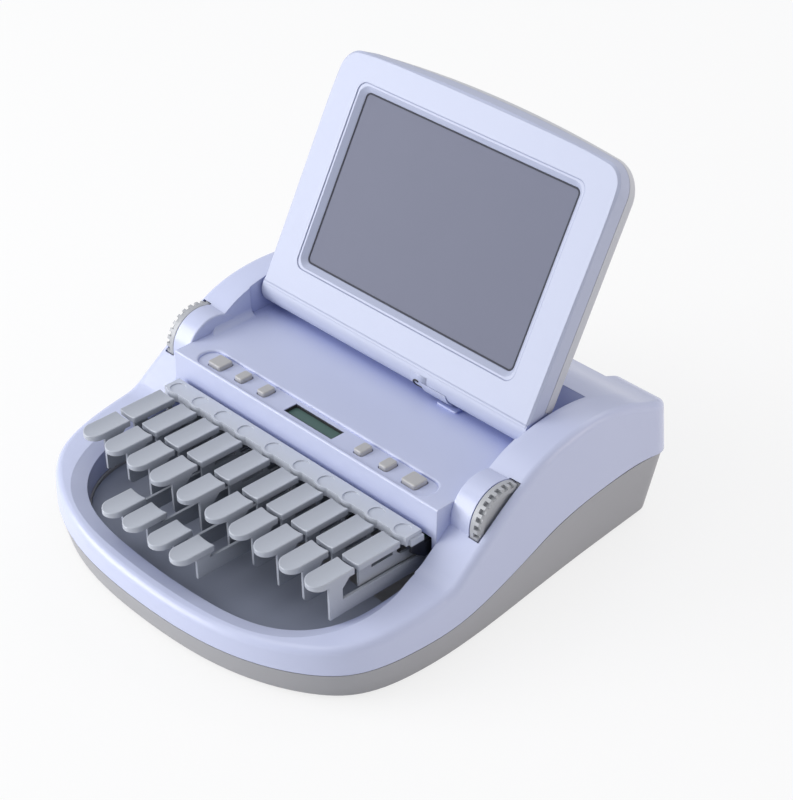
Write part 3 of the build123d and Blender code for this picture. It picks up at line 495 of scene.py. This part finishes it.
def paint_lip_crease_shade():
    """Painted shade in the fine crease along the frame, just above its lip: a darker strip."""
    half, low, high = 97.0, 1.2, 1.8
    line = 0.2
    outer = plain_loop(half, low, high)
    inner = plain_loop(half - line, low + line, high - line)
    top, bottom = -0.05, 0.1
    frame_strip("lip_crease_shade", outer, inner, on_screen, top, bottom, CREASE_SHADE, "screen")


lay_glass_edge_shadow()
paint_window_groove_shade()
paint_lip_crease_shade()


# The cable clip in the lip

CLIP_STATIONS = 12


def on_barrel(x, turn, radius):
    """A point round the hinge: turn counts in degrees from straight ahead, downwards."""
    angle = math.radians(turn)
    return on_machine(x, HINGE_Y - radius * math.cos(angle), HINGE_Z - radius * math.sin(angle))


def barrel_strip(name, left, right, start, sweep, inner_radius, outer_radius, soften=0.0, smooth=False):
    """A strip bent round the barrel. outer_radius gives its outside for each share of its length."""
    points = []
    for i in range(CLIP_STATIONS + 1):
        turn = start + sweep * i / CLIP_STATIONS
        outer = outer_radius(i / CLIP_STATIONS)
        for x, radius in ((left, inner_radius), (right, inner_radius), (right, outer), (left, outer)):
            points.append(on_barrel(x, turn, radius))
    return piece(
        name, points, sleeve_faces(CLIP_STATIONS + 1, 4), FINISHES["screen_frame"], "screen",
        soften, smooth,
    )


def fit_clip():
    """A small tongue that hugs the barrel, the seat beside it, and in the seat a dark C-shaped wire that
    is painted shade of a groove.
    """
    barrel_strip(
        "clip_tongue", left=25.2, right=43.0, start=10, sweep=56, inner_radius=9.3,
        outer_radius=lambda share: 9.7 + 1.3 * share ** 2, soften=0.3,
    )
    barrel_strip(
        "clip_seat", left=17.6, right=29.4, start=-15, sweep=62, inner_radius=8.2,
        outer_radius=lambda share: 9.28, smooth=True,
    )
    groove_shade_x, groove_shade_turn, groove_shade_radius = 21.8, 33, 9.3
    half_width, half_height = 2.8, 3.4
    opening, sweep, steps = 60, 240, 24
    bend = []
    for i in range(steps + 1):
        turn = math.radians(opening + sweep * i / steps)
        lift = math.degrees(half_height * math.sin(turn) / BARREL_RADIUS)
        bend.append(on_barrel(groove_shade_x + half_width * math.cos(turn), groove_shade_turn - lift, groove_shade_radius))
    wire_radius = 0.55
    # The near black wire is painted shade: the dark of a C-shaped groove in the seat.
    bent_wire("clip_groove_shade", bend, wire_radius, FINISHES["socket_black"], "screen")


fit_clip()


# The deck's trim

def lay_cable_cover():
    """The low plate tucked under the lip, where the screen's cable goes into the housing."""
    centre_x, centre_y = 40.0, 40.0
    bottom, top = 66.6, 68.1
    half, front, rear = 7.0, -3.2, 4.5
    outline = rounded_loop(half, front, rear, radius=1.5, steps=4)
    count = len(outline)
    points = [on_machine(centre_x + x, centre_y + y, z) for z in (bottom, top) for x, y in outline]
    faces = [(i, (i + 1) % count, count + (i + 1) % count, count + i) for i in range(count)]
    faces += [tuple(range(count, 2 * count)), tuple(reversed(range(count)))]
    plate = piece(
        "cable_cover_plate", points, faces, FINISHES["housing_upper"], "housing",
        soften=0.4,
    )
    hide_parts("cable_cover")


def line_display_window():
    """The black lining inside the small display's window."""
    half, front, rear = 17.85, -19.35, -10.85
    wall = 0.5
    outer = rounded_loop(half, front, rear, radius=0.4, steps=2)
    inner = rounded_loop(half - wall, front + wall, rear - wall, radius=0.2, steps=2)
    top, bottom = 65.0, 63.4
    frame_strip(
        "display_lining", outer, inner, on_machine, top, bottom, FINISHES["socket_black"], "housing",
    )


lay_cable_cover()
line_display_window()


# Table and light. Sizes and places are in metres.

TABLE_HALF = 6.0
TABLE_GLOW = 0.78
WORLD_LIGHT = 0.6
WORLD_SEEN = 1.0
MACHINE_MIDDLE = (0.0, 0.0, 0.05)
KEYBOARD_MIDDLE = (0.0, 0.0, 0.07)


def lay_table():
    """A matt white table that keeps the machine's soft shadow and otherwise meets the backdrop. A share
    of what the camera and the gloss see of it is plain white."""
    material, tree, shader = new_material("paper_white_matt")
    set_sockets(shader, Base_Color=linear("#F0F0F0"), Roughness=0.9, Specular_IOR_Level=0.1)
    path = add(tree, "ShaderNodeLightPath")
    seen = add(
        tree, "ShaderNodeMath", {0: path.outputs["Is Camera Ray"], 1: path.outputs["Is Glossy Ray"]},
        operation="MAXIMUM",
    )
    share = add(tree, "ShaderNodeMath", {0: seen.outputs["Value"]}, operation="MULTIPLY")
    share.inputs[1].default_value = TABLE_GLOW
    glow = add(tree, "ShaderNodeEmission", Strength=1.0, Color=linear("#FFFFFF"))
    mix = add(tree, "ShaderNodeMixShader", {
        0: share.outputs["Value"],
        1: shader.outputs["BSDF"],
        2: glow.outputs["Emission"],
    })
    tree.links.new(mix.outputs["Shader"], tree.nodes["Material Output"].inputs["Surface"])
    mesh = bpy.data.meshes.new("table_top")
    corners = plain_loop(TABLE_HALF, -TABLE_HALF, TABLE_HALF)
    mesh.from_pydata([(x, y, 0.0) for x, y in corners], [], [(0, 1, 2, 3)])
    mesh.materials.append(material)
    table = bpy.data.objects.new("table_top", mesh)
    bpy.context.scene.collection.objects.link(table)


def lamp(name, size, power, location, aim=MACHINE_MIDDLE, colour="#FFFFFF"):
    """A flat lamp of a width and a height that faces its aim."""
    data = bpy.data.lights.new(name, "AREA")
    data.shape = "RECTANGLE"
    data.size, data.size_y = size
    data.energy = power
    data.color = linear(colour)[:3]
    lamp_object = bpy.data.objects.new(name, data)
    bpy.context.scene.collection.objects.link(lamp_object)
    towards = Vector(aim) - Vector(location)
    turn = towards.to_track_quat("-Z", "Y").to_matrix().to_4x4()
    lamp_object.matrix_world = Matrix.Translation(Vector(location)) @ turn


def light_studio():
    """A pale room that the camera sees as white, and five soft lamps round the table."""
    world = bpy.data.worlds.new("studio_world")
    world.use_nodes = True
    bpy.context.scene.world = world
    tree = world.node_tree
    background = tree.nodes["Background"]
    background.inputs["Color"].default_value = linear("#F4F6FB")
    path = add(tree, "ShaderNodeLightPath")
    level = add(
        tree, "ShaderNodeMapRange", {"Value": path.outputs["Is Camera Ray"]},
        To_Min=WORLD_LIGHT, To_Max=WORLD_SEEN,
    )
    tree.links.new(level.outputs["Result"], background.inputs["Strength"])
    lamp("softbox_front_left", (1.2, 0.9), 17.8, (-1.2, -1.15, 0.75))
    lamp("card_front_low", (1.2, 0.3), 6.0, (-0.95, -1.4, 0.2), aim=KEYBOARD_MIDDLE)
    lamp("card_above_keys", (1.0, 0.6), 2.9, (-0.35, -0.45, 1.3))
    lamp("softbox_rear", (1.6, 0.6), 5.0, (-0.1, 1.6, 1.4))
    lamp("warm_wall_right", (1.0, 0.8), 6.0, (1.45, 1.15, 0.55), colour="#FFF1E8")


lay_table()
light_studio()
